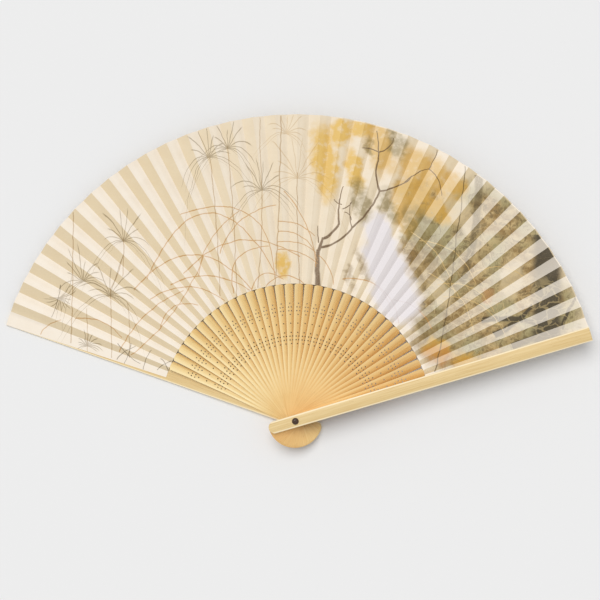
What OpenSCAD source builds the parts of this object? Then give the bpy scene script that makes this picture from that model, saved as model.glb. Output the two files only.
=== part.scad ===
// Folding hand fan of bamboo and paper, drawn fully open.
// Thin inner ribs and two thick guards turn on one rivet, and a pleated paper leaf joins their outer
// halves. Every stick lies a little higher than the one on its left, from the back guard at the left
// to the front guard at the right, so that the sticks close into a flat stack.
// The origin is on the rivet's axis, at the underside of the back guard. +Z runs along the rivet and
// +Y along the middle of the open fan. A stick is drawn along +Y, then lifted and turned into place.

/* [Opening] */
// Angle between the two guards when the fan is fully open, in degrees
open_angle = 144; // [120:1:150]

/* [Guards] */
// Distance from the rivet to the square-cut tip of a guard
guard_reach = 207.5; // [180:0.5:230]
// Distance from the rivet to the rounded end of every stick, behind it
tail = 18.6; // [15:0.1:22]
// Width of every stick at the rivet
hub_w = 8.1; // [7.5:0.1:9]
// Width of a guard at its tip
guard_tip_w = 9.7; // [8.5:0.1:11]
// Thickness of a guard at the rivet
guard_t = 3.2; // [3:0.1:4]
// Radius of the crown across the outer face of the front guard
crown_r = 20; // [16:1:60]

/* [Ribs] */
// Thickness of a rib outside the leaf
rib_t = 0.36; // [0.3:0.01:0.4]
// Height from one rib to the next in the stack
rib_pitch = 0.44; // [0.42:0.01:0.6]
// Width of a rib where it is pierced
pierced_w = 5.6; // [4.8:0.1:5.8]
// Width of a rib just before it enters the leaf
neck_w = 6.0; // [3.6:0.1:6.2]
// Width of the thin strip of a rib inside the leaf
strip_w = 2.6; // [2:0.1:2.7]
// Thickness of the strip of a rib inside the leaf
strip_t = 0.22; // [0.18:0.01:0.3]
// Diameter of a pierced hole
hole_d = 0.9; // [0.6:0.1:1.1]

/* [Leaf] */
// Inner radius of the leaf
leaf_in = 92.8; // [90:0.1:100]
// Outer radius of the leaf
leaf_out = 207.5; // [180:0.5:230]
// Slope of a pleat across its width when the fan is open, in degrees
pleat_tilt = 22; // [12:1:22]
// Thickness of the leaf, two glued sheets of paper
paper_t = 0.16; // [0.12:0.01:0.2]

/* [Rivet] */
// Diameter of the rivet's shank
shank_d = 2.4; // [2:0.1:2.8]
// Diameter of the rivet's two heads
head_d = 4.6; // [4.2:0.1:5]

/* [Hidden] */
$fn = 48;
ribs = 33;
front = ribs + 1;                    // number of the front guard; the back guard is stick 0
folds = (ribs + 1) / 2;
stick_step = open_angle / front;     // angle between neighbouring sticks
rub = 0.08;                          // gap between a guard and the rib beside it
hub_end = 12;                        // where the flat hub of a rib ends
twist_from = 16;                     // where a rib starts to twist
shoulder = 0.8;                      // length of the step down to the strip, at the leaf's edge
strip_gap = 0.04;                    // gap over and under the strip in its pocket
strip_side = 0.15;                   // gap beside the strip in its pocket
tip_back = 3.5;                      // how far the strip stops short of the leaf's rim
slope = tan(pleat_tilt);
bore_r = shank_d / 2 + 0.05;         // running fit of every stick on the shank
recess_r = head_d / 2 + 0.1;         // pocket of the back head, in the back guard
recess_depth = 1;
spot_r = 3.3;                        // shallow seat of the front head, in the front guard
spot_depth = 0.15;
dome_h = 1.1;
brim_h = 0.25;
shank_in_cap = 0.45;                 // how far the shank reaches into the cap
first_level = guard_t + rub + rib_t / 2;
front_z = first_level + (ribs - 1) * rib_pitch + rib_t / 2 + rub;
seat_z = front_z + guard_t - spot_depth + 0.05;

// How far a guard's inner face stands back from the ribs along its length, to leave room for the
// twisted ribs and for the pleats of the closed leaf
stand_back = [[10, 0], [30, 0.4], [60, 0.8], [leaf_in, 1.2], [guard_reach, 1.95]];

// Stations along the twisted length of a rib
twist_steps = 16;
stations = concat(
    [hub_end],
    [for (k = [0 : twist_steps]) twist_from + (leaf_in - shoulder - twist_from) * k / twist_steps],
    [leaf_in, leaf_in + 12, leaf_out - tip_back]
);

// Pierced pattern: rows of holes as [distance from the rivet, sideways spacing of a pair]
pair_gap = 1.84;
ring_rows = [[-3.85, 0], [-1.3, pair_gap], [1.25, pair_gap], [3.75, 0]];
ring_centres = [75.75, 56];
middle_hole = 66;

function stick_turn(i) = open_angle / 2 - i * stick_step;
function level(i) = first_level + (i - 1) * rib_pitch;
function two_digits(i) = i < 10 ? str("0", i) : str(i);
function rib_name(i) = str("rib_", two_digits(i));
function fold_name(j) = str("leaf_fold_", two_digits(j));

// ---- Guards ----

// Outline of a guard in plan: straight sides, a square-cut tip and a round tail
module guard_plan() {
    tail_r = hub_w / 2;
    translate([0, tail_r - tail]) circle(r = tail_r);
    polygon([
        [-hub_w / 2, tail_r - tail],
        [hub_w / 2, tail_r - tail],
        [guard_tip_w / 2, guard_reach],
        [-guard_tip_w / 2, guard_reach]
    ]);
}

// Guard seen from its side, outer face at z = 0 and inner face thinning towards the tip
module guard_side() {
    inner = [for (p = stand_back) [p[0], guard_t - p[1]]];
    width = 2 * guard_tip_w;
    rotate([90, 0, 90])
        translate([0, 0, -width / 2])
            linear_extrude(width)
                polygon(concat([[-tail - 1, 0], [-tail - 1, guard_t]], inner, [[guard_reach, 0]]));
}

module guard_blank() {
    intersection() {
        linear_extrude(guard_t) guard_plan();
        guard_side();
    }
}

module bore(height) {
    translate([0, 0, -1]) cylinder(r = bore_r, h = height + 2);
}

module back_guard() {
    color([0.88, 0.79, 0.6])
        rotate(stick_turn(0))
            difference() {
                guard_blank();
                bore(guard_t);
                translate([0, 0, -1]) cylinder(r = recess_r, h = recess_depth + 1);
            }
}

module front_guard() {
    crown = [0, -tail - 1, crown_r];
    color([0.88, 0.79, 0.6])
        rotate(stick_turn(front))
            translate([0, 0, front_z + guard_t])
                rotate([0, 180, 0])
                    difference() {
                        intersection() {
                            guard_blank();
                            translate(crown)
                                rotate([-90, 0, 0])
                                    cylinder(r = crown_r, h = guard_reach + tail + 2, $fn = 180);
                        }
                        bore(guard_t);
                        translate([0, 0, -1]) cylinder(r = spot_r, h = spot_depth + 1);
                    }
}

// ---- Ribs ----

function rib_width(y) = lookup(y, [
    [twist_from, hub_w],
    [50, pierced_w + 0.2],
    [80, pierced_w],
    [leaf_in - shoulder, neck_w],
    [leaf_in, strip_w]
]);
function rib_thickness(y) = lookup(y, [[leaf_in, rib_t], [leaf_in + 12, strip_t]]);
function rib_slope(y) = lookup(y, [[twist_from, 0], [leaf_in - shoulder, slope]]);

// The four corners of a rib's section at distance y: left and right, below and above
function rib_section(y) = [
    for (side = [-1, 1], face = [-1, 1])
        let (x = side * rib_width(y) / 2)
            [x, y, face * rib_thickness(y) / 2 - x * rib_slope(y)]
];

// Triangles between two neighbouring sections, split along the same diagonal above and below
function rib_skin(k) = [
    for (q = [[4, 5, 1, 0], [5, 7, 3, 1], [7, 6, 2, 3], [4, 0, 2, 6]])
        for (t = [[0, 1, 2], [0, 2, 3]])
            [for (c = t) 4 * k + q[c]]
];

module rib_blade() {
    last = len(stations) - 1;
    polyhedron(
        points = [for (y = stations) each rib_section(y)],
        faces = concat(
            [[0, 1, 3, 2]],
            [for (k = [0 : last - 1]) each rib_skin(k)],
            [[for (c = [0, 2, 3, 1]) 4 * last + c]]
        )
    );
}

module rib_hub() {
    tail_r = hub_w / 2;
    translate([0, 0, -rib_t / 2])
        linear_extrude(rib_t) {
            translate([0, tail_r - tail]) circle(r = tail_r);
            translate([-hub_w / 2, tail_r - tail]) square([hub_w, hub_end + tail - tail_r]);
        }
}

module pierced_holes() {
    holes = concat(
        [[0, middle_hole]],
        [
            for (centre = ring_centres, row = ring_rows)
                for (side = row[1] == 0 ? [0] : [-0.5, 0.5])
                    [side * row[1], centre + row[0]]
        ]
    );
    for (h = holes)
        translate([h[0], h[1], -2]) cylinder(r = hole_d / 2, h = 4, $fn = 24);
}

module rib(i) {
    color([0.86, 0.71, 0.43])
        rotate(stick_turn(i))
            translate([0, 0, level(i)])
                difference() {
                    union() {
                        rib_blade();
                        rib_hub();
                    }
                    translate([0, 0, -1]) bore(rib_t);
                    pierced_holes();
                }
}

// ---- Leaf ----

// Height of the leaf's middle at stick i, at radius r and x to the right of the stick's centre line
function leaf_z(i, x, r) =
    i == 0 ? guard_t - lookup(r, stand_back) + paper_t / 2 + 0.01
    : i == front ? front_z + lookup(r, stand_back) - paper_t / 2 - 0.01
    : level(i) - x * slope;

// Half the sideways angle of the panel on stick i: a guard's panel covers the guard's tip
function half_panel(i) = (i == 0 || i == front) ? asin(guard_tip_w / 2 / leaf_out) : stick_step / 4;

// Corners of one column of the leaf: at the inner edge and at the rim, below and above.
// side is -1 or 1 for a crease, and -0.5 or 0.5 for an edge of the pocket that holds the strip.
function leaf_column(i, side) = [
    for (r = [leaf_in, leaf_out], face = [-1, 1])
        let (
            crease = abs(side) == 1,
            x = crease ? side * r * sin(half_panel(i)) : 2 * side * (strip_w / 2 + strip_side),
            y = sqrt(r * r - x * x),
            half_t = crease ? paper_t / 2 : strip_t / 2 + strip_gap + paper_t / 2,
            a = stick_turn(i)
        )
        [x * cos(a) - y * sin(a), x * sin(a) + y * cos(a), leaf_z(i, x, r) + face * half_t]
];

function panel_columns(i) = [for (side = [-1, -0.5, 0.5, 1]) leaf_column(i, side)];
function tab_columns(i) = [for (side = [-1, 1]) leaf_column(i, side)];

// Closed strip of leaf through its columns, from left to right. Corners: 0 and 1 inner, 2 and 3 rim.
module leaf_strip(columns) {
    last = len(columns) - 1;
    polyhedron(
        points = [for (c = columns) each c],
        faces = concat(
            [[0, 1, 3], [0, 3, 2]],
            [
                for (k = [0 : last - 1])
                    for (q = [[0, 2, 6, 4], [1, 5, 7, 3], [0, 4, 5, 1], [2, 3, 7, 6]])
                        for (t = [[0, 1, 2], [0, 2, 3]])
                            [for (c = t) 4 * k + q[c]]
            ],
            [[4 * last, 4 * last + 3, 4 * last + 1], [4 * last, 4 * last + 2, 4 * last + 3]]
        )
    );
}

// The pocket that a rib's strip slides into, open at the leaf's inner edge
module pocket(i) {
    width = strip_w + 2 * strip_side;
    height = strip_t + 2 * strip_gap;
    inner_height = rib_t + 2 * strip_gap;
    rotate(stick_turn(i))
        translate([0, 0, level(i)])
            rotate([0, pleat_tilt, 0]) {
                translate([-width / 2, leaf_in - 1, -height / 2])
                    cube([width, leaf_out - tip_back + 1.5 - leaf_in, height]);
                translate([-width / 2, leaf_in - 1, -inner_height / 2])
                    cube([width, 12, inner_height]);
            }
}

module leaf_fold(j) {
    odd = 2 * j - 1;
    even = 2 * j;
    ends_at_guard = even == front;
    color([0.95, 0.91, 0.83])
        difference() {
            leaf_strip(concat(
                [leaf_column(odd - 1, 1)],
                panel_columns(odd),
                ends_at_guard ? [leaf_column(front, -1)] : panel_columns(even)
            ));
            pocket(odd);
            if (!ends_at_guard) pocket(even);
        }
}

module leaf_tab_back() {
    color([0.95, 0.91, 0.83]) leaf_strip(tab_columns(0));
}

module leaf_tab_front() {
    color([0.95, 0.91, 0.83]) leaf_strip(tab_columns(front));
}

// ---- Rivet ----

module rivet() {
    color([0.2, 0.13, 0.08]) {
        cylinder(r = head_d / 2, h = recess_depth - 0.05);
        cylinder(r = shank_d / 2, h = seat_z + shank_in_cap);
    }
}

// Domed cap closed on the shank's end, with a small dimple in its middle
module rivet_cap() {
    dome_r = (pow(head_d / 2, 2) + pow(dome_h, 2)) / (2 * dome_h);
    color([0.2, 0.13, 0.08])
        translate([0, 0, seat_z])
            difference() {
                union() {
                    cylinder(r = head_d / 2, h = brim_h);
                    translate([0, 0, brim_h])
                        intersection() {
                            cylinder(r = head_d / 2, h = dome_h + 1);
                            translate([0, 0, dome_h - dome_r]) sphere(r = dome_r, $fn = 64);
                        }
                }
                translate([0, 0, -1]) cylinder(r = shank_d / 2 + 0.01, h = 1.02 + shank_in_cap);
                translate([0, 0, brim_h + dome_h + 0.25]) sphere(r = 0.6);
            }
}

back_guard();
front_guard();
rivet();
rivet_cap();
for (i = [1 : ribs]) rib(i);
leaf_tab_back();
leaf_tab_front();
for (j = [1 : folds]) leaf_fold(j);
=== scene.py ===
import math
import random

import bmesh
import bpy
from mathutils import Matrix, Vector


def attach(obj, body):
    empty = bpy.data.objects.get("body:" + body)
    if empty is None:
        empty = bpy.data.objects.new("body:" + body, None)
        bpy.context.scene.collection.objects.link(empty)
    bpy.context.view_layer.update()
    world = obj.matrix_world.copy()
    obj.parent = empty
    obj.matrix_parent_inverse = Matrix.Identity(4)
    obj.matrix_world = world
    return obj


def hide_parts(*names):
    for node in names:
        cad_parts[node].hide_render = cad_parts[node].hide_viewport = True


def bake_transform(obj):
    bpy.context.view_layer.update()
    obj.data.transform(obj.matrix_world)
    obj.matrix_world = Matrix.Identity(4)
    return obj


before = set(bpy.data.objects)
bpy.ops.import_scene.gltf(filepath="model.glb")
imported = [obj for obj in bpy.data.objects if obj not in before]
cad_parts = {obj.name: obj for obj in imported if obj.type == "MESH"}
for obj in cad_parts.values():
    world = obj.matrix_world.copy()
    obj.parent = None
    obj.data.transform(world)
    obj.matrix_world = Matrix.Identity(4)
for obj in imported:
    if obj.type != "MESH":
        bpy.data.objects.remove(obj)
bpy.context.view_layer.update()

# ---------------------------------------------------------------------------------------------
# The table, the window light and the eye.
# The fan lies open on its back on a plain pale table, lit by one broad soft lamp behind the rim
# and by the pale room all round. It is looked at from straight above.

table_colour = (0.83, 0.83, 0.83, 1)
room_colour = (1.0, 1.0, 1.0, 1)
room_strength = 0.52
lamp_strength = 1.735
lamp_spread = math.radians(40)            # how wide the soft lamp looks from the table
lamp_from = Vector((-0.20, 0.36, 0.90))   # the way to the lamp
fan_middle = Vector((0.001, 0.0817, 0.010))
eye_height = 1.5
view_width = 0.4068                       # metres of table across the view
table_size, table_drop = 6, 0.0003        # it lies a hair below the back guard
fan_roll = math.radians(1.5)              # the fan lies turned by this much on the table
film_width = 36.0

bpy.context.scene.view_settings.view_transform = "Standard"

eye = bpy.data.cameras.new("eye")
eye.type = "PERSP"
eye.sensor_width = film_width
eye.lens = film_width * (eye_height - fan_middle.z) / view_width
eye.clip_start, eye.clip_end = 0.01, 50
eye_stand = bpy.data.objects.new("eye", eye)
eye_stand.location = (fan_middle.x, fan_middle.y, eye_height)
eye_stand.rotation_euler = (0, 0, fan_roll)
bpy.context.scene.collection.objects.link(eye_stand)
bpy.context.scene.camera = eye_stand

room = bpy.data.worlds.new("room")
room.use_nodes = True
room.node_tree.nodes["Background"].inputs["Color"].default_value = room_colour
room.node_tree.nodes["Background"].inputs["Strength"].default_value = room_strength
bpy.context.scene.world = room

lamp = bpy.data.lights.new("soft_lamp", "SUN")
lamp.energy, lamp.angle = lamp_strength, lamp_spread
lamp_stand = bpy.data.objects.new("soft_lamp", lamp)
lamp_stand.location = lamp_from * 2
lamp_stand.rotation_euler = lamp_from.to_track_quat("Z", "Y").to_euler()
bpy.context.scene.collection.objects.link(lamp_stand)


def bare_material(name, roughness, specular=0.5):
    """A material with its Principled shader, and that shader."""
    made = bpy.data.materials.new(name)
    made.use_nodes = True
    shader = made.node_tree.nodes["Principled BSDF"]
    shader.inputs["Roughness"].default_value = roughness
    shader.inputs["Specular IOR Level"].default_value = specular
    return made, shader


bpy.ops.object.select_all(action="DESELECT")
bpy.ops.mesh.primitive_plane_add(size=table_size, location=(0, 0, -table_drop))
table = bpy.context.object
table.name = "table"
table_finish, table_shader = bare_material("table_paper", 0.9, 0.1)
table_shader.inputs["Base Color"].default_value = table_colour
table.data.materials.append(table_finish)

# ---------------------------------------------------------------------------------------------
# Back guard.
# A thick outer stick of pale bamboo, flat outside and thinned inside towards its tip, with a
# round tail and softly rubbed edges. A shallow recess holds the rivet's back head.

# The fan is a stack of sticks threaded on one rivet at the origin: a back guard, thirty-three
# thin ribs and a front guard. Stick 0 is the back guard, and each next one lies a little higher.
mm = 0.001
ribs = 33
front = ribs + 1
open_angle = 144.0
stick_step = open_angle / front
guard_thick = 3.2
guard_reach, tail = 207.5, 18.6
hub_width, tip_width = 8.1, 9.7
head_recess = 2.4                         # radius of the recess for the rivet's back head


def stick_turn(i):
    """How far stick i is turned from straight up, in degrees."""
    return open_angle / 2 - i * stick_step


def along(stations, y):
    """A value read between stations of (distance, value)."""
    for (y0, v0), (y1, v1) in zip(stations, stations[1:]):
        if y <= y1:
            return v0 + (v1 - v0) * max(0.0, (y - y0) / (y1 - y0))
    return stations[-1][1]


# The guards' inner faces stand back from the ribs by this much along their length.
stand_back = [(10, 0), (30, 0.4), (60, 0.8), (92.8, 1.2), (207.5, 1.95)]

# Places along and across a guard where its shape may bend, and half widths its long edges pass.
guard_along = (10, 30, 60, 92.8, 120, 150, 180)
guard_across = (-3.7, -2.9, -1.6, 0.0, 1.6, 2.9, 3.7)
guard_edges = (4.05, 4.45, 4.85)


def link(tree, value, socket):
    """Joins an output, or sets a plain value, on an input."""
    if isinstance(value, bpy.types.NodeSocket):
        tree.links.new(value, socket)
    elif value is not None:
        socket.default_value = value


def calc(tree, operation, *values):
    n = tree.nodes.new("ShaderNodeMath")
    n.operation = operation
    for socket, value in zip(n.inputs, values):
        link(tree, value, socket)
    return n.outputs[0]


def vector_calc(tree, operation, *values):
    n = tree.nodes.new("ShaderNodeVectorMath")
    n.operation = operation
    for socket, value in zip(n.inputs, values):
        link(tree, value, socket)
    return n.outputs["Value" if operation == "LENGTH" else "Vector"]


def scaled(tree, vector, scale, turn=0.0):
    """A vector with each axis scaled, then turned about Z."""
    n = tree.nodes.new("ShaderNodeMapping")
    link(tree, vector, n.inputs["Vector"])
    n.inputs["Scale"].default_value = scale
    n.inputs["Rotation"].default_value = (0, 0, turn)
    return n.outputs["Vector"]


def split(tree, vector):
    """The X, Y and Z of a vector."""
    n = tree.nodes.new("ShaderNodeSeparateXYZ")
    link(tree, vector, n.inputs[0])
    return n.outputs


def join(tree, x, y, z):
    """A vector from its X, Y and Z."""
    n = tree.nodes.new("ShaderNodeCombineXYZ")
    for socket, value in zip(n.inputs, (x, y, z)):
        link(tree, value, socket)
    return n.outputs[0]


def channels(tree, value):
    """The red, green and blue of a colour."""
    n = tree.nodes.new("ShaderNodeSeparateColor")
    link(tree, value, n.inputs[0])
    return n.outputs


def cells(tree, vector, feature="F1"):
    """Voronoi cells one unit across."""
    n = tree.nodes.new("ShaderNodeTexVoronoi")
    n.feature = feature
    link(tree, vector, n.inputs["Vector"])
    n.inputs["Scale"].default_value = 1.0
    return n.outputs


def noise(tree, vector, scale=1.0, detail=3.0, rough=0.5):
    n = tree.nodes.new("ShaderNodeTexNoise")
    link(tree, vector, n.inputs["Vector"])
    n.inputs["Scale"].default_value = scale
    n.inputs["Detail"].default_value = detail
    n.inputs["Roughness"].default_value = rough
    return n.outputs["Fac"]


def ramp(tree, value, low, high, to_low=0.0, to_high=1.0, smooth=True):
    """A value stretched from low..high to to_low..to_high."""
    n = tree.nodes.new("ShaderNodeMapRange")
    n.interpolation_type = "SMOOTHSTEP" if smooth else "LINEAR"
    n.clamp = False                       # a smooth step holds its own ends
    for socket, v in zip(n.inputs, (value, low, high, to_low, to_high)):
        link(tree, v, socket)
    return n.outputs["Result"]


def blend_colour(tree, amount, first, second, kind="MIX"):
    n = tree.nodes.new("ShaderNodeMix")
    n.data_type, n.blend_type = "RGBA", kind
    link(tree, amount, n.inputs["Factor"])
    link(tree, first, n.inputs[6])
    link(tree, second, n.inputs[7])
    return n.outputs[2]


def colour(r, g, b):
    """A colour from its everyday 0 to 255 values."""
    def part(c):
        c /= 255
        return c / 12.92 if c <= 0.04045 else ((c + 0.055) / 1.055) ** 2.4
    return (part(r), part(g), part(b), 1.0)


def node_group(name, takes, gives):
    """An empty shader group with its input and output nodes."""
    tree = bpy.data.node_groups.new(name, "ShaderNodeTree")
    for side, sockets in (("INPUT", takes), ("OUTPUT", gives)):
        for title, kind in sockets:
            tree.interface.new_socket(title, in_out=side, socket_type="NodeSocket" + kind)
    return tree, tree.nodes.new("NodeGroupInput").outputs, tree.nodes.new("NodeGroupOutput").inputs


def use_group(tree, group, *values):
    n = tree.nodes.new("ShaderNodeGroup")
    n.node_tree = group
    for socket, value in zip(n.inputs, values):
        link(tree, value, socket)
    return n.outputs


def relief(tree, shader, height, depth, strength=1.0):
    """Raises a finish by a height of 0 to 1 over a depth in millimetres."""
    n = tree.nodes.new("ShaderNodeBump")
    n.inputs["Strength"].default_value = strength
    n.inputs["Distance"].default_value = depth * mm
    link(tree, height, n.inputs["Height"])
    link(tree, n.outputs["Normal"], shader.inputs["Normal"])


# Every stick is split from the same bamboo: straight fibres along its length, small dark fibre
# ends, slow clouds of tone, and a thin coat of wax.
bamboo_fibre, given, out = node_group(
    "bamboo_fibre",
    [("Position", "Vector")],
    [("Streaks", "Float"), ("Fibre ends", "Float"), ("Cloud", "Float"), ("Height", "Float")],
)
tree = bamboo_fibre
broad = noise(tree, scaled(tree, given["Position"], (1.1, 0.018, 1.1)), 1.0, 4, 0.6)
fine = noise(tree, scaled(tree, given["Position"], (6.0, 0.07, 6.0)), 1.0, 3, 0.6)
streaks = ramp(tree, calc(tree, "ADD", calc(tree, "MULTIPLY", broad, 0.55),
                          calc(tree, "MULTIPLY", fine, 0.45)), 0.32, 0.68)
dots = cells(tree, scaled(tree, given["Position"], (2.6, 0.16, 2.6)))
ends = calc(tree, "MULTIPLY", ramp(tree, dots["Distance"], 0.22, 0.08),
            ramp(tree, noise(tree, given["Position"], 0.3, 1), 0.45, 0.62))
cloud = noise(tree, scaled(tree, given["Position"], (0.16, 0.03, 0.16)), 1.0, 2, 0.5)
link(tree, streaks, out["Streaks"])
link(tree, ends, out["Fibre ends"])
link(tree, cloud, out["Cloud"])
link(tree, calc(tree, "SUBTRACT", fine, calc(tree, "MULTIPLY", ends, 0.6)), out["Height"])


def bamboo(name, turn, light, deep, pale=None, pale_at=None, shadow_tone=None, rough=0.46):
    """Bamboo whose fibres run along a stick turned by turn degrees. pale_at is how far from the
    stick's middle its pale scraped edges begin, in millimetres at the hub and at the tip. For a rib,
    the last tone is a painted shadow where the next stick lies over it, and the rest of its visible
    part shades to a painted highlight in the pale tone at its edge."""
    made, shader = bare_material(name, rough)
    tree = made.node_tree
    place = tree.nodes.new("ShaderNodeTexCoord").outputs["Object"]
    stick = scaled(tree, place, (1 / mm,) * 3, -math.radians(turn))
    fibre = use_group(tree, bamboo_fibre, stick)
    tone = blend_colour(tree, fibre["Streaks"], deep, light)
    tone = blend_colour(tree, ramp(tree, fibre["Cloud"], 0.35, 0.7, 0.0, 0.35), tone, light)
    tone = blend_colour(tree, calc(tree, "MULTIPLY", fibre["Fibre ends"], 0.45), tone,
                        colour(150, 108, 56))
    if shadow_tone:
        # Painted light and shade on a rib: a painted highlight along its uncovered edge and a painted shadow
        # on the part that the next rib lies over.
        axes = split(tree, stick)
        shown = calc(tree, "DIVIDE", calc(tree, "ADD", axes["X"], 2.9),
                     calc(tree, "MULTIPLY", axes["Y"], math.radians(stick_step)))
        clear_of_hub = ramp(tree, axes["Y"], 12.0, 40.0)
        edge = calc(tree, "MULTIPLY", ramp(tree, shown, 0.6, 0.05, 0.0, 0.65), clear_of_hub)
        tone = blend_colour(tree, edge, tone, pale)
        painted_shadow_under_next = calc(tree, "MULTIPLY", ramp(tree, shown, 0.55, 1.05, 0.0, 0.7), clear_of_hub)
        tone = blend_colour(tree, painted_shadow_under_next, tone, shadow_tone)
    elif pale:
        axes = split(tree, stick)
        side = calc(tree, "ABSOLUTE", axes["X"])
        begin = ramp(tree, axes["Y"], 0.0, guard_reach, pale_at[0], pale_at[1], False)
        edge = ramp(tree, calc(tree, "SUBTRACT", side, begin), 0.0, 0.45)
        tone = blend_colour(tree, calc(tree, "MULTIPLY", edge, 0.8), tone, pale)
    link(tree, tone, shader.inputs["Base Color"])
    link(tree, ramp(tree, fibre["Streaks"], 0, 1, rough + 0.1, rough - 0.06),
         shader.inputs["Roughness"])
    relief(tree, shader, fibre["Height"], 0.05, 0.5)
    return made


def pick(piece, test):
    """Selects the vertices of a piece in edit mode whose place passes a test."""
    shape = bmesh.from_edit_mesh(piece.data)
    bpy.ops.mesh.select_all(action="DESELECT")
    bpy.context.tool_settings.mesh_select_mode = (True, False, False)
    for part in shape.verts:
        part.select_set(bool(test(part.co)))
    shape.select_flush_mode()
    bmesh.update_edit_mesh(piece.data)


def slice_at(point, normal):
    """Cuts the whole piece along a plane and keeps both sides."""
    bpy.ops.mesh.select_all(action="SELECT")
    bpy.ops.mesh.bisect(plane_co=point, plane_no=normal)


def apply_modifier(piece, kind, **settings):
    added = piece.modifiers.new(kind.lower(), kind)
    for name, value in settings.items():
        setattr(added, name, value)
    bpy.context.view_layer.objects.active = piece
    bpy.ops.object.modifier_apply(modifier=added.name)


def smooth(piece, degrees):
    bpy.ops.object.select_all(action="DESELECT")
    piece.select_set(True)
    bpy.context.view_layer.objects.active = piece
    bpy.ops.object.shade_smooth_by_angle(angle=math.radians(degrees))


def guard_blank(name, crown):
    """A guard lying with its outer face down at z = 0 and its length along +Y, in metres."""
    bpy.ops.object.select_all(action="DESELECT")
    bpy.ops.mesh.primitive_plane_add(size=1, location=(0, (guard_reach - tail) / 2 * mm, 0))
    piece = bpy.context.object
    piece.name = name
    piece.scale = (hub_width * mm, (guard_reach + tail) * mm, 1)
    bpy.ops.object.transform_apply(location=True, rotation=True, scale=True)
    bpy.ops.object.mode_set(mode="EDIT")
    pick(piece, lambda p: p.y > 0.1)
    bpy.ops.transform.resize(value=(tip_width / hub_width, 1, 1),
                             center_override=(0, guard_reach * mm, 0))
    pick(piece, lambda p: p.y < 0)
    bpy.ops.mesh.bevel(offset=hub_width / 2 * mm * 0.999, segments=14, affect="VERTICES")
    for y in guard_along:
        slice_at((0, y * mm, 0), (0, 1, 0))
    for x in guard_across:
        slice_at((x * mm, 0, 0), (1, 0, 0))
    bpy.ops.object.mode_set(mode="OBJECT")
    apply_modifier(piece, "SOLIDIFY", thickness=guard_thick * mm, offset=1.0)
    bpy.ops.object.mode_set(mode="EDIT")
    for y in guard_along[1:] + (guard_reach,):
        pick(piece, lambda p: p.z > guard_thick / 2 * mm and abs(p.y - y * mm) < 0.2 * mm)
        bpy.ops.transform.translate(value=(0, 0, -along(stand_back, y) * mm))
    if crown:
        for x in tuple(-edge for edge in reversed(guard_edges)) + guard_across + guard_edges:
            pick(piece, lambda p: p.z < 0.01 * mm and abs(p.x - x * mm) < 0.2 * mm)
            bpy.ops.transform.translate(value=(0, 0, (crown - math.sqrt(crown ** 2 - x ** 2)) * mm))
    bpy.ops.mesh.select_all(action="SELECT")
    bpy.ops.mesh.normals_make_consistent(inside=False)
    bpy.ops.object.mode_set(mode="OBJECT")
    apply_modifier(piece, "BEVEL", width=0.45 * mm, segments=4, limit_method="ANGLE",
                   angle_limit=math.radians(40))
    return piece


def stand(piece, turn, height=0.0, flip=False):
    """Puts a finished piece in its place in the stack and keeps the place in its mesh."""
    if flip:
        piece.data.transform(Matrix.Rotation(math.pi, 4, "Y"))
    piece.data.transform(Matrix.Translation((0, 0, height * mm)))
    piece.data.transform(Matrix.Rotation(math.radians(turn), 4, "Z"))
    piece.data.update()


def finish_with(piece, material):
    """Gives a piece this one material in place of any it had."""
    piece.data.materials.clear()
    piece.data.materials.append(material)


guard_light, guard_deep = colour(232, 206, 150), colour(212, 178, 116)
guard_edge = colour(252, 236, 200)

back_guard = guard_blank("back_guard_stick", crown=None)
bpy.ops.object.select_all(action="DESELECT")
bpy.ops.mesh.primitive_cylinder_add(vertices=48, radius=head_recess * mm, depth=2 * mm,
                                    location=(0, 0, 0))
recess = bpy.context.object
apply_modifier(back_guard, "BOOLEAN", object=recess, operation="DIFFERENCE", solver="EXACT")
bpy.data.objects.remove(recess)
smooth(back_guard, 35)
stand(back_guard, stick_turn(0))
finish_with(back_guard, bamboo("back_guard_bamboo", stick_turn(0), guard_light, guard_deep,
                               guard_edge, (3.2, 4.0)))
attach(back_guard, "fixed_guard")
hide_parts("back_guard")

# ---------------------------------------------------------------------------------------------
# Rivet.
# A turned pin of dark brown horn-coloured plastic through the whole stack, with a flat back head
# let into the back guard. The sticks are threaded on it and the cap closes it at the very end.

horn_body, horn_worn = colour(52, 32, 18), colour(92, 66, 46)


def horn(name):
    made, shader = bare_material(name, 0.3)
    tree = made.node_tree
    place = scaled(tree, tree.nodes.new("ShaderNodeTexCoord").outputs["Object"], (1 / mm,) * 3)
    mottle = noise(tree, place, 1.4, 4, 0.6)
    link(tree, blend_colour(tree, ramp(tree, mottle, 0.4, 0.7), horn_body, horn_worn),
         shader.inputs["Base Color"])
    scratches = noise(tree, scaled(tree, place, (8, 1, 1)), 1.0, 2)
    link(tree, ramp(tree, scratches, 0.3, 0.7, 0.22, 0.42), shader.inputs["Roughness"])
    relief(tree, shader, mottle, 0.02)
    return made


horn_finish = horn("dark_horn")
finish_with(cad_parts["rivet"], horn_finish)

# ---------------------------------------------------------------------------------------------
# Ribs.
# Thirty-three thin bamboo slips, each with thirteen pierced holes and a slow twist from its flat
# hub to the tilt of its pleat. Those on the left are paler and those on the right more amber, as painted
# light and shade.

# The light and deep tones, the painted highlight on the edge and the painted shadow under the next rib, of
# the first rib, which is lit, and of the last, which is shaded.
rib_lit_left = (colour(243, 216, 152), colour(226, 188, 116), colour(252, 234, 184), colour(206, 158, 86))
rib_shaded_right = (colour(236, 190, 116), colour(218, 162, 86), colour(248, 214, 150), colour(196, 138, 68))


def between(a, b, t):
    """A colour part of the way from one to another."""
    return tuple(x + (y - x) * t for x, y in zip(a, b))


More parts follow.
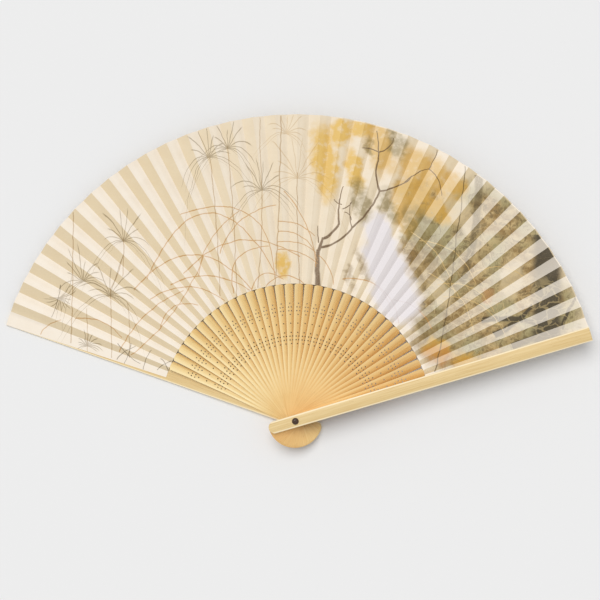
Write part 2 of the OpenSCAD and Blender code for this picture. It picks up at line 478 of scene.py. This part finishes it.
tone_of = random.Random(7)
for i in range(1, front):
    # Painted shade: the further right a rib lies, the more it takes of the shaded set, with a little random
    # tone.
    shade_and_tone = max(0.0, min(1.0, i / front + tone_of.uniform(-0.08, 0.08)))
    light, deep, pale, shadow_tone = [between(a, b, shade_and_tone) for a, b in zip(rib_lit_left, rib_shaded_right)]
    finish_with(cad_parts["rib_%02d" % i],
                bamboo("rib_bamboo_%02d" % i, stick_turn(i), light, deep, pale, shadow_tone=shadow_tone, rough=0.42))

# ---------------------------------------------------------------------------------------------
# Leaf.
# One strip of two sized mulberry papers, glued face to face over the ribs' thin strips and folded
# into even pleats. It is painted in thin watercolour, and its two ends are pasted on the guards.

# The painting is of an autumn meadow: arching ochre grass and silver-grass plumes on the left, a
# bare branch with yellow leaf washes in the middle, drifting mist, and dim woods on the right.
# Its places are millimetres from the rivet, x to the right and y up, on the spread leaf.


def add(tree, *values):
    total = values[0]
    for value in values[1:]:
        total = calc(tree, "ADD", total, value)
    return total


def times(tree, *values):
    product = values[0]
    for value in values[1:]:
        product = calc(tree, "MULTIPLY", product, value)
    return product


def less(tree, a, b):
    return calc(tree, "SUBTRACT", a, b)


def turned_about(tree, x, y, centre_x, centre_y, angle):
    """x and y measured from a centre, turned by an angle."""
    x, y = less(tree, x, centre_x), less(tree, y, centre_y)
    c, s = calc(tree, "COSINE", angle), calc(tree, "SINE", angle)
    return (less(tree, times(tree, x, c), times(tree, y, s)),
            add(tree, times(tree, x, s), times(tree, y, c)))


def union(tree, masks):
    """The strongest of several masks at each place."""
    whole = None
    for mask in masks:
        whole = mask if whole is None else calc(tree, "MAXIMUM", whole, mask)
    return whole


def floats(*names):
    return [(name, "Float") for name in names]


# One stroke of a brush, bowed to the left of its way by Bend, from half width Start to End.
brush_stroke, given, out = node_group(
    "brush_stroke", floats("X", "Y", "From X", "From Y", "To X", "To Y", "Bend", "Start", "End"),
    floats("Mask"))
tree = brush_stroke
from_x, from_y = less(tree, given["X"], given["From X"]), less(tree, given["Y"], given["From Y"])
run_x, run_y = less(tree, given["To X"], given["From X"]), less(tree, given["To Y"], given["From Y"])
run_square = add(tree, times(tree, run_x, run_x), times(tree, run_y, run_y))
run_length = calc(tree, "SQRT", run_square)
way = calc(tree, "DIVIDE", add(tree, times(tree, from_x, run_x), times(tree, from_y, run_y)), run_square)
side = calc(tree, "DIVIDE", less(tree, times(tree, run_x, from_y), times(tree, run_y, from_x)), run_length)
rest_of_way = less(tree, 1.0, way)
bow = times(tree, given["Bend"], 4.0)
arch = times(tree, bow, way, rest_of_way)
steep = calc(tree, "DIVIDE", times(tree, bow, less(tree, rest_of_way, way)), run_length)
gap = calc(tree, "DIVIDE", calc(tree, "ABSOLUTE", less(tree, side, arch)),
           calc(tree, "SQRT", add(tree, times(tree, steep, steep), 1.0)))
half = ramp(tree, way, 0.0, 1.0, given["Start"], given["End"], False)
mark = ramp(tree, gap, add(tree, half, 0.16), times(tree, half, 0.5))
link(tree, times(tree, mark, calc(tree, "GREATER_THAN", way, 0.0), calc(tree, "LESS_THAN", way, 1.0)),
     out["Mask"])

# A silver-grass plume: fine hairs that leave one root on both sides, arch over and droop.
plume_head, given, out = node_group(
    "plume_head", floats("X", "Y", "Root X", "Root Y", "Size", "Lean", "Droop", "Seed"), floats("Mask"))
tree = plume_head
hairs = 6.0
sideways, upward = turned_about(tree, given["X"], given["Y"], given["Root X"], given["Root Y"],
                                given["Lean"])
from_stem = calc(tree, "ABSOLUTE", sideways)
lifted = add(tree, upward, calc(tree, "DIVIDE", times(tree, given["Droop"], from_stem, from_stem),
                                given["Size"]))
bearing = times(tree, calc(tree, "ARCTAN2", lifted, from_stem), hairs / (math.pi / 2))
which = add(tree, calc(tree, "FLOOR", bearing), times(tree, calc(tree, "GREATER_THAN", sideways, 0.0), 40.0),
            times(tree, given["Seed"], 100.0))
chance = tree.nodes.new("ShaderNodeTexWhiteNoise")
chance.noise_dimensions = "1D"
link(tree, which, chance.inputs["W"])
chance = chance.outputs["Value"]
reach = calc(tree, "SQRT", add(tree, times(tree, lifted, lifted), times(tree, from_stem, from_stem)))
off_centre = less(tree, calc(tree, "FRACT", bearing), ramp(tree, chance, 0, 1, 0.3, 0.7, False))
gap = times(tree, calc(tree, "ABSOLUTE", off_centre), reach, math.pi / 2 / hairs)
longest = times(tree, given["Size"], ramp(tree, chance, 0, 1, 1.0, 0.45, False))
link(tree, times(tree, ramp(tree, gap, 0.36, 0.10), ramp(tree, reach, longest, times(tree, longest, 0.8)),
                 calc(tree, "GREATER_THAN", bearing, -0.6)), out["Mask"])

# One soft-edged wash of thin colour.
colour_wash, given, out = node_group(
    "colour_wash", floats("X", "Y", "Centre X", "Centre Y", "Half width", "Half height", "Turn", "Softness"),
    floats("Mask"))
tree = colour_wash
sideways, upward = turned_about(tree, given["X"], given["Y"], given["Centre X"], given["Centre Y"],
                                given["Turn"])
sideways = calc(tree, "DIVIDE", sideways, given["Half width"])
upward = calc(tree, "DIVIDE", upward, given["Half height"])
far = calc(tree, "SQRT", add(tree, times(tree, sideways, sideways), times(tree, upward, upward)))
link(tree, ramp(tree, far, add(tree, 1.0, given["Softness"]), less(tree, 1.0, given["Softness"])),
     out["Mask"])

painting, given, out = node_group(
    "autumn_painting", [("Position", "Vector"), ("Lit Side", "Float")],
    [("Colour", "Color"), ("White", "Float")])
tree = painting
place = given["Position"]
wobble = tree.nodes.new("ShaderNodeTexNoise")
link(tree, place, wobble.inputs["Vector"])
wobble.inputs["Scale"].default_value = 0.11
wobble.inputs["Detail"].default_value = 4
wander = channels(tree, wobble.outputs["Color"])
wander = join(tree, less(tree, wander[0], 0.5), less(tree, wander[1], 0.5), 0.0)
wet_place = vector_calc(tree, "ADD", place, scaled(tree, wander, (14, 14, 0)))
wet = split(tree, wet_place)
hand = split(tree, vector_calc(tree, "ADD", place, scaled(tree, wander, (2.4, 2.4, 0))))
blotch = noise(tree, place, 0.2, 4, 0.6)
dry_brush = noise(tree, scaled(tree, place, (1.2, 1.2, 1)), 1.0, 3, 0.6)


def washes(spots, softness=0.3):
    """The union of several washes: (x, y, half width, half height, turn in degrees)."""
    return union(tree, (
        use_group(tree, colour_wash, wet["X"], wet["Y"], x, y, wide, high, math.radians(turn), softness)[0]
        for x, y, wide, high, turn in spots))


def strokes(lines):
    """The union of several strokes: (x, y, x, y, bend, half width at the start, at the end)."""
    return union(tree, (use_group(tree, brush_stroke, hand["X"], hand["Y"], *line)[0] for line in lines))


def plumes(heads):
    """The union of several plumes: (x, y, size, lean in degrees, droop)."""
    return union(tree, (
        use_group(tree, plume_head, hand["X"], hand["Y"], x, y, size, math.radians(lean), droop,
                  float(seed))[0]
        for seed, (x, y, size, lean, droop) in enumerate(heads)))


def tint(ground, mask, amount, shade):
    """A ground with one thin colour laid over it where the mask is."""
    return blend_colour(tree, times(tree, mask, amount), ground, shade)


unpainted = colour(255, 255, 255)
page = unpainted

# The dim woods: a broken olive and umber ground, then trunks, fallen boughs and pale leaves.
woods = washes([(128, 118, 46, 40, 30), (112, 68, 34, 34, 20), (92, 118, 20, 34, 25),
                (150, 74, 44, 36, 10), (88, 148, 22, 12, 40)], 0.25)
mottling = ramp(tree, noise(tree, scaled(tree, place, (0.10, 0.16, 1), 0.6), 1.0, 5, 0.65), 0.36, 0.62)
ground = blend_colour(tree, mottling, colour(228, 216, 182), colour(168, 146, 102))
ground = blend_colour(tree, ramp(tree, noise(tree, place, 0.035, 2), 0.42, 0.6), ground,
                      colour(190, 192, 164))
dab = cells(tree, scaled(tree, wet_place, (0.30, 0.42, 1), 0.5))
dabs = times(tree, ramp(tree, dab["Distance"], 0.55, 0.35),
            calc(tree, "GREATER_THAN", channels(tree, dab["Color"])[0], 0.6))
ground = tint(ground, dabs, 0.55, colour(118, 106, 76))
page = tint(page, woods, 0.95, ground)
hatching = ramp(tree, noise(tree, scaled(tree, wet_place, (1.5, 0.11, 1), 0.9), 1.0, 3, 0.6), 0.54, 0.62)
page = tint(page, times(tree, hatching, woods), 0.5, colour(112, 98, 68))
umber = washes([(60, 104, 5, 20, -25), (96, 104, 14, 26, -40), (96, 62, 20, 16, -30),
                (37, 97, 3, 8, -15), (46, 104, 3.5, 13, -20), (78, 76, 8, 12, -30)], 0.35)
page = tint(page, times(tree, umber, ramp(tree, blotch, 0.3, 0.6)), 0.6, colour(146, 126, 80))

yellow = washes([(20, 176, 9, 25, -8), (30, 195, 8, 9, 0), (40, 170, 6, 15, -12), (44, 199, 10, 7, -10),
                 (-8.5, 107, 4.5, 8, 0)], 0.32)
page = tint(page, times(tree, yellow, ramp(tree, blotch, 0.3, 0.55, 0.45, 1.0)), 0.95,
            colour(244, 212, 108))
amber_wash = washes([(57, 186, 9, 20, -16), (86, 170, 19, 12, 32), (80, 152, 13, 14, -30),
                     (104, 158, 12, 9, 35), (96, 48, 9, 7, 20), (117, 40, 10, 6, 15),
                     (74, 138, 7, 14, -25), (98, 142, 12, 8, 35)], 0.35)
page = tint(page, times(tree, amber_wash, ramp(tree, blotch, 0.28, 0.52, 0.55, 1.0)), 0.85,
            colour(234, 200, 106))
olive = washes([(69, 186, 6.5, 10, -18), (45, 148, 5.5, 15, -15), (62, 146, 6, 12, -22),
                (82, 133, 10, 12, -30), (68, 196, 5, 6, 0), (50, 186, 3, 6, -10)], 0.4)
page = tint(page, times(tree, olive, ramp(tree, blotch, 0.3, 0.6, 0.3, 1.0)), 0.75,
            colour(150, 142, 96))
rust = washes([(97, 44, 10, 6, 20), (130, 84, 6, 5, 0)], 0.4)
page = tint(page, rust, 0.5, colour(214, 150, 84))

# The woods' grey trunks, dark boughs on the ground, and a lit clearing between them.
clearing = washes([(113, 139, 7, 16, -38), (146, 96, 7, 14, 10), (98, 88, 6, 12, -30)], 0.3)
page = tint(page, clearing, 0.7, colour(240, 236, 222))
sapling = strokes([(124, 166, 113, 94, 3.0, 3.4, 3.0)])
page = tint(page, times(tree, sapling, ramp(tree, dry_brush, 0.3, 0.6, 0.6, 1.0)), 0.75,
            colour(118, 110, 88))
trunk = strokes([(170, 126, 170, 40, 0.0, 11.5, 13.0)])
page = tint(page, times(tree, trunk, ramp(tree, dry_brush, 0.3, 0.6, 0.85, 1.0)), 0.97,
            colour(84, 82, 76))
boughs = strokes([(126, 68, 162, 66, 2.0, 2.6, 2.0), (134, 58, 160, 78, -2.0, 2.8, 1.6),
                  (146, 50, 176, 58, 1.5, 2.6, 2.2), (180, 62, 192, 86, 2.0, 1.6, 0.8)])
page = tint(page, boughs, 0.9, colour(78, 75, 68))
leaf_line = cells(tree, scaled(tree, wet_place, (0.10, 0.15, 1), 0.7), "DISTANCE_TO_EDGE")
veins = times(tree, ramp(tree, leaf_line["Distance"], 0.05, 0.02),
             washes([(112, 82, 30, 26, 20), (156, 76, 34, 22, 0), (128, 110, 22, 20, 20)], 0.3))
page = tint(page, veins, 0.4, colour(240, 232, 200))
reeds = strokes([(78, 128, 108, 84, 6, 0.25, 0.2), (84, 122, 122, 92, 8, 0.25, 0.2),
                 (90, 100, 120, 60, 7, 0.25, 0.2), (96, 92, 134, 74, 8, 0.25, 0.2),
                 (100, 84, 142, 56, 9, 0.25, 0.2), (120, 100, 156, 96, 6, 0.25, 0.2)])
page = tint(page, reeds, 0.8, colour(244, 226, 178))

# Drifting mist, a soft bank of body white with no paint under it.
mist = washes([(62, 104, 13, 29, -20), (68, 84, 15, 19, -35), (57, 124, 9, 16, -10)], 0.3)
page = tint(page, mist, 1.0, unpainted)

# The bare branch, in umber ink.
branch = strokes([
    (15.3, 90, 15.6, 116, 0.6, 2.3, 1.6), (15.6, 115, 18.6, 124, -0.4, 1.3, 1.0),
    (18.6, 123, 29.4, 134, -1.6, 1.0, 0.75), (29.2, 133, 32.8, 159, 1.4, 0.75, 0.25),
    (17, 117, 38.4, 130.6, -2.4, 0.95, 0.8), (38, 130.4, 57, 156, -2.2, 0.8, 0.7),
    (57, 155.6, 55.6, 176, 1.4, 0.7, 0.5), (55.6, 175, 55.5, 196, -0.6, 0.5, 0.25),
    (57, 155.6, 74, 161, -1.2, 0.6, 0.4), (73.6, 161, 90, 170, 1.6, 0.4, 0.2),
    (90, 170, 99, 152, 3.0, 0.3, 0.2), (90, 170, 96, 188, -2.0, 0.3, 0.2),
    (55.6, 182, 45.6, 184.6, -1.0, 0.4, 0.2), (55.6, 181.6, 67, 191, -2.4, 0.4, 0.2),
    (31.4, 146, 26, 150, 0.8, 0.35, 0.2), (31.8, 143, 38.6, 149, -1.0, 0.35, 0.2),
    (33, 141, 38, 136, 1.4, 0.3, 0.2), (38.4, 131, 37.4, 148, 1.0, 0.35, 0.2),
    (15.8, 120, 15, 132, 0.3, 0.5, 0.2), (73.6, 161, 78.6, 166, -0.8, 0.4, 0.2),
])
page = tint(page, times(tree, branch, ramp(tree, dry_brush, 0.25, 0.5, 0.75, 1.0)), 0.95,
            colour(112, 86, 52))

# Ochre grass: long arching blades and upright stems.
grass = strokes([
    (-101, 96, -13.5, 100, 43, 0.36, 0.3), (-78, 140, -14, 96, 26, 0.34, 0.24),
    (-51, 113, -13, 146, 8, 0.34, 0.26), (-110, 88, -30, 89, 24, 0.38, 0.3),
    (-76, 99, 3, 111, 17, 0.36, 0.3), (-99, 82, -48, 81, 9, 0.34, 0.26),
    (-85, 92, -31, 88, 8, 0.36, 0.28), (-120, 46, -76, 88, 6, 0.36, 0.28),
    (-112, 44, -62, 112, -6, 0.34, 0.24), (-42, 86, -18, 118, 12, 0.34, 0.26),
    (-92, 62, -66, 78, 8, 0.34, 0.26), (-150, 69, -118, 56, 5, 0.3, 0.2),
    (-174, 58, -159, 68, 2.5, 0.3, 0.2), (-66, 98, -38, 142, 6, 0.32, 0.22),
    (-30, 88, -8, 96, 8, 0.34, 0.26), (-11.5, 135, 13, 125, 3.0, 0.34, 0.24),
    (-12, 128, 15, 108, 7.0, 0.34, 0.24), (-12, 116, 15, 106, 3.0, 0.32, 0.22),
    (-8, 156, 14, 104, 5.0, 0.3, 0.24), (-12, 121, 14, 114, 3.0, 0.3, 0.2),
    (-20, 91, 6, 92, 7.0, 0.34, 0.26), (32, 96, 70, 66, 11, 0.42, 0.34),
    (40, 96, 64, 76, 6, 0.34, 0.26), (66, 82, 92, 62, 5, 0.4, 0.3), (16, 112, 26, 92, 2, 0.3, 0.2),
])
page = tint(page, grass, 0.8, colour(214, 170, 104))
stems = strokes([
    (-9.6, 209, -13.6, 90, 0.6, 0.42, 0.36), (-58, 178, -51, 84, 1.0, 0.26, 0.3),
    (-46, 186, -40, 84, 1.0, 0.26, 0.3), (-24, 206, -22.6, 158, -0.6, 0.2, 0.26),
    (-22.6, 159, -25.4, 90, 0.8, 0.26, 0.3), (1.4, 168, 3, 92, -0.8, 0.26, 0.3),
    (-151, 143, -153, 52, 0.5, 0.34, 0.34), (-117, 124, -117.4, 98, 0.4, 0.24, 0.24),
    (-126, 88, -125.4, 42, 0.4, 0.24, 0.24), (-142, 76, -142, 46, 0.2, 0.2, 0.2),
    (-126.4, 88, -117.3, 112, -1.2, 0.3, 0.2), (-114, 80, -113, 42, 0.4, 0.2, 0.2),
])
page = tint(page, stems, 0.62, colour(176, 140, 72))

# Silver-grass plumes in thin olive ink, and faint golden ones near the middle.
olive_plumes = plumes([
    (-116.6, 121, 36, 0, 1.9), (-126.4, 84, 38, 8, 1.8), (-144.5, 94, 36, -16, 1.7),
    (-58.4, 178, 34, -14, 2.0), (-46, 184, 30, 4, 1.8), (-22.6, 156, 38, -4, 1.9),
    (-142, 50, 13, 0, 0.8), (-160, 84, 16, 150, 0.8),
])
page = tint(page, olive_plumes, 0.62, colour(132, 116, 74))
gold_plumes = plumes([(1.4, 164, 44, 0, 1.6), (-6, 194, 24, 10, 1.6)])
page = tint(page, gold_plumes, 0.4, colour(200, 168, 96))
scribble = strokes([
    (-122, 41, -109, 50, 1, 0.28, 0.16), (-121, 52, -106, 38, -1, 0.28, 0.16),
    (-112, 52, -118, 36, 1, 0.28, 0.16), (-92, 42, -86, 31, 1, 0.3, 0.16),
    (-94, 34, -84, 40, 1, 0.28, 0.16), (-160, 92, -166, 70, 1, 0.26, 0.14),
    (-104, 34, -98, 48, 1, 0.26, 0.14), (114.8, 173, 109, 126, 0.6, 0.3, 0.34),
    (109, 126, 94, 33, 1.6, 0.36, 0.4),
])
page = tint(page, scribble, 0.75, colour(96, 82, 50))

# The paint is thinned on the lit faces as a painted sheen, more so towards the right, and stops just short
# of the rim.
radius = vector_calc(tree, "LENGTH", place)
still = ramp(tree, wet["X"], 80, 165, 0.8, 0.46)
kept = times(tree, ramp(tree, radius, 207.2, 206.5), ramp(tree, given["Lit Side"], 0, 1, 1.0, still, False))
link(tree, blend_colour(tree, kept, unpainted, page), out["Colour"])
link(tree, mist, out["White"])

# The paper is cream, with long stray fibres and faint clouds from the size it was brushed with.
# Its lit faces are painted paler and its shaded faces deeper, as painted light and shade.
paper_fibre, given, out = node_group(
    "paper_fibre", [("Position", "Vector")],
    [("Clouds", "Float"), ("Fibres", "Float"), ("Height", "Float")])
tree = paper_fibre
clouds = noise(tree, given["Position"], 0.09, 4, 0.55)
felt = noise(tree, given["Position"], 2.2, 4, 0.65)
strands = union(tree, (
    ramp(tree, noise(tree, scaled(tree, given["Position"], (0.12, 2.4, 1), turn), 1.0, 2, 0.5), 0.62, 0.72)
    for turn in (0.35, 1.5, 2.5)))
link(tree, clouds, out["Clouds"])
link(tree, strands, out["Fibres"])
link(tree, add(tree, felt, times(tree, strands, 0.5)), out["Height"])

paper_lit_face, paper_shaded_face = colour(243, 232, 216), colour(230, 211, 176)
body_white = colour(226, 221, 225)


def paper(name, painted):
    made, shader = bare_material(name, 0.5)
    tree = made.node_tree
    cut = tree.nodes.new("ShaderNodeUVMap")
    cut.uv_map = "spread_leaf"
    place = scaled(tree, cut.outputs["UV"], (1 / mm, 1 / mm, 0))
    lit_side_layer = tree.nodes.new("ShaderNodeAttribute")
    lit_side_layer.attribute_name = "painted_lit_side"
    lit_side = split(tree, lit_side_layer.outputs["Vector"])["X"]
    fibre = use_group(tree, paper_fibre, place)
    # Painted light and shade: the lit faces take the paler paper colour and the shaded faces the deeper one.
    tone = blend_colour(tree, lit_side, paper_shaded_face, paper_lit_face)
    tone = blend_colour(tree, ramp(tree, fibre["Clouds"], 0.35, 0.65, 0.0, 0.10), tone,
                        colour(214, 186, 144))
    tone = blend_colour(tree, times(tree, fibre["Fibres"], 0.10), tone,
                        colour(255, 250, 238))
    if painted:
        picture = use_group(tree, painting, place, lit_side)
        tone = blend_colour(tree, 1.0, tone, picture["Colour"], "MULTIPLY")
        tone = blend_colour(tree, ramp(tree, picture["White"], 0, 1, 0.0, 0.85, False), tone, body_white)
    link(tree, tone, shader.inputs["Base Color"])
    link(tree, ramp(tree, fibre["Clouds"], 0.3, 0.7, 0.58, 0.48), shader.inputs["Roughness"])
    relief(tree, shader, fibre["Height"], 0.05, 0.35)
    return made


painted_paper = paper("painted_leaf_paper", True)
plain_paper = paper("plain_leaf_paper", False)

# Each piece of the leaf is the face that lies on one stick and the next face, which bends over to
# the stick after. Heights are those of the stack: ribs with a little room to rub between them.
rib_thick, rib_pitch, rub = 0.36, 0.44, 0.08
first_level = guard_thick + rub + rib_thick / 2
front_level = first_level + (ribs - 1) * rib_pitch + rib_thick / 2 + rub
leaf_in, leaf_out = 92.8, 207.5
pleat_slope = math.tan(math.radians(22))
paper_half = 0.06                         # half the thickness of the two glued papers
paste_height = 0.09                       # the middle of the paper above the guard it is pasted on
over_strip_half = 0.035                   # paper beyond the strip's own half thickness
strip_half_wide, strip_end = 1.3, 204.0
strip_thick = [(92.8, 0.36), (104.8, 0.22), (207.5, 0.22)]
leaf_rows = 30
lit_side_change_over = 16                            # sticks over which the painted lit face changes sides
paper_wave = random.Random(21)


def level(i):
    return first_level + (i - 1) * rib_pitch


def leaf_height(i, x, r):
    """Height of the leaf's middle at stick i, x to the right of the stick and r from the rivet."""
    if i == 0:
        return guard_thick - along(stand_back, r) + paste_height
    if i == front:
        return front_level + along(stand_back, r) - paste_height
    return level(i) - x * pleat_slope


def half_face(i):
    """Half the angle that the face on stick i covers."""
    return math.asin(tip_width / 2 / leaf_out) if i in (0, front) else math.radians(stick_step / 4)


def on_stick(i, x, r, lift=0.0):
    """A point of the leaf on stick i, in metres."""
    y = math.sqrt(r * r - x * x)
    a = math.radians(stick_turn(i))
    return Vector((x * math.cos(a) - y * math.sin(a), x * math.sin(a) + y * math.cos(a),
                   leaf_height(i, x, r) + lift)) * mm


def crease(i, side, r):
    return on_stick(i, side * r * math.sin(half_face(i)), r)


def face_columns(i, r):
    """Across one face: (place, half thickness), thicker where a rib's strip runs inside."""
    edge = r * math.sin(half_face(i))
    if i in (0, front):
        return [(on_stick(i, edge * s, r), paper_half) for s in (-1, -0.4, 0.4, 1)]
    inner = min(strip_half_wide + 0.25, edge * 0.9)
    flank = strip_half_wide
    over_strip = along(strip_thick, r) / 2 + over_strip_half if r <= strip_end + 0.5 else paper_half
    return [(on_stick(i, -edge, r), paper_half), (on_stick(i, -inner, r), paper_half),
            (on_stick(i, -flank, r), over_strip), (on_stick(i, flank, r), over_strip),
            (on_stick(i, inner, r), paper_half), (on_stick(i, edge, r), paper_half)]


def build_leaf(name, i, bends):
    """A closed thin sheet: the face on stick i and, if it bends, the face that leads to the next."""
    rows, lit_side_layer = [], []
    waves = [paper_wave.uniform(-1, 1) for _ in range(3)]
    for k in range(leaf_rows + 1):
        r = leaf_in + (leaf_out - leaf_in) * k / leaf_rows
        wave = 0.10 * (waves[0] * math.sin(r / 11 + 6 * waves[1])
                       + waves[1] * math.sin(r / 23 + 5 * waves[2]))
        row = face_columns(i, r)
        if bends:
            low, high = crease(i, 1, r), crease(i + 1, -1, r)
            middle = (low + high) / 2
            row.append((middle + Vector((0, 0, wave * mm)), paper_half))
            row.append((high, paper_half))
        rows.append(row)
    columns = len(rows[0])
    on_face = columns - (3 if bends else 1)
    # Painted light: on the left half the face on the stick is painted as lit, and on the right half the face
    # leading to the next stick is.
    light_side = max(0.0, min(1.0, 0.5 + (front / 2 - i) / lit_side_change_over))
    points = []
    for side in (1, -1):
        points += [p + Vector((0, 0, side * h * mm)) for row in rows for p, h in row]
    half_count = len(rows) * columns
    faces, painted, lit_amounts = [], [], []
    for k in range(leaf_rows):
        for c in range(columns - 1):
            a, b = k * columns + c, (k + 1) * columns + c
            shade = light_side if c < on_face else 1.0 - light_side
            faces.append((a, a + 1, b + 1, b))
            faces.append((half_count + a, half_count + b, half_count + b + 1, half_count + a + 1))
            painted += [0, 1]
            lit_amounts += [shade, shade]
    rim = ([(c, c + 1) for c in range(columns - 1)]
           + [(k * columns + columns - 1, (k + 1) * columns + columns - 1) for k in range(leaf_rows)]
           + [(leaf_rows * columns + c + 1, leaf_rows * columns + c) for c in range(columns - 1)]
           + [((k + 1) * columns, k * columns) for k in range(leaf_rows)])
    for a, b in rim:
        faces.append((b, a, half_count + a, half_count + b))
        painted.append(1)
        lit_amounts.append(1.0)
    mesh = bpy.data.meshes.new(name)
    mesh.from_pydata(points, [], faces)
    mesh.update()
    piece = bpy.data.objects.new(name, mesh)
    bpy.context.scene.collection.objects.link(piece)
    mesh.color_attributes.new("painted_lit_side", "FLOAT_COLOR", "CORNER")
    mesh.uv_layers.new(name="spread_leaf")
    spread, lit_side_layer = mesh.uv_layers["spread_leaf"], mesh.color_attributes["painted_lit_side"]
    roll = Matrix.Rotation(-fan_roll, 2)
    for polygon, which, shade in zip(mesh.polygons, painted, lit_amounts):
        polygon.material_index = which
        for corner in polygon.loop_indices:
            flat = mesh.vertices[mesh.loops[corner].vertex_index].co.to_2d()
            spread.data[corner].uv = roll @ flat
            lit_side_layer.data[corner].color = (shade, shade, shade, 1)
    mesh.materials.append(painted_paper)
    mesh.materials.append(plain_paper)
    smooth(piece, 30)
    return piece


def body_of_stick(i):
    return "fixed_guard" if i == 0 else "moving_guard" if i == front else "rib_%02d_turning" % i


leaf_middle = 150                         # distance from the rivet to the middle of the leaf
for i in range(front):
    pleat = build_leaf("leaf_pleat_%02d" % i, i, True)
    low, high = crease(i, 1, leaf_middle), crease(i + 1, -1, leaf_middle)
    middle, over = (low + high) / 2, high - low
    over.z = 0
    over.normalize()
    if i == 0:
        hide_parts("leaf_tab_back")
    elif i % 2:
        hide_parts("leaf_fold_%02d" % ((i + 1) // 2))
    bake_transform(pleat)

end_tab = build_leaf("leaf_end_tab", front, False)
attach(end_tab, body_of_stick(front))
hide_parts("leaf_tab_front")

# ---------------------------------------------------------------------------------------------
# Front guard.
# The twin of the back guard in the same bamboo, turned over and laid on the ribs with its outer
# side up. That side is planed to a low crown, and the leaf's end is pasted under it.

front_guard = guard_blank("front_guard_stick", crown=20.0)
smooth(front_guard, 35)
stand(front_guard, 0, -guard_thick)
stand(front_guard, 0, front_level, flip=True)
stand(front_guard, stick_turn(front))
finish_with(front_guard, bamboo("front_guard_bamboo", stick_turn(front), guard_light, guard_deep,
                                guard_edge, (3.0, 3.9)))
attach(front_guard, "moving_guard")
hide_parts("front_guard")

# ---------------------------------------------------------------------------------------------
# Rivet cap.
# A domed cap of the same dark plastic, closed over the pin's end with a setting tool that left a
# small dimple in its middle.

seat_height = 20.90
cap_profile = [(2.30, 0.0), (2.30, 0.20), (2.24, 0.36), (2.02, 0.62), (1.66, 0.92), (1.22, 1.16),
               (0.80, 1.30), (0.62, 1.33), (0.50, 1.26), (0.36, 1.08), (0.18, 0.98)]
bpy.ops.object.select_all(action="DESELECT")
bpy.ops.mesh.primitive_circle_add(vertices=64, radius=cap_profile[0][0] * mm, fill_type="NGON",
                                  location=(0, 0, seat_height * mm))
cap = bpy.context.object
cap.name = "rivet_dome"
bpy.ops.object.transform_apply(location=True, rotation=True, scale=True)
bpy.ops.object.mode_set(mode="EDIT")
bpy.ops.mesh.select_all(action="SELECT")
for (wide, low), (narrow, high) in zip(cap_profile, cap_profile[1:]):
    bpy.ops.mesh.extrude_region_move(TRANSFORM_OT_translate={"value": (0, 0, (high - low) * mm)})
    bpy.ops.transform.resize(value=(narrow / wide, narrow / wide, 1),
                             center_override=(0, 0, (seat_height + high) * mm))
bpy.ops.mesh.poke()
bpy.ops.mesh.select_all(action="DESELECT")
bpy.ops.mesh.select_non_manifold()
bpy.ops.mesh.edge_face_add()
bpy.ops.mesh.select_all(action="SELECT")
bpy.ops.mesh.normals_make_consistent(inside=False)
bpy.ops.object.mode_set(mode="OBJECT")
smooth(cap, 50)
finish_with(cap, horn_finish)
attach(cap, "fixed_guard")
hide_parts("rivet_cap")
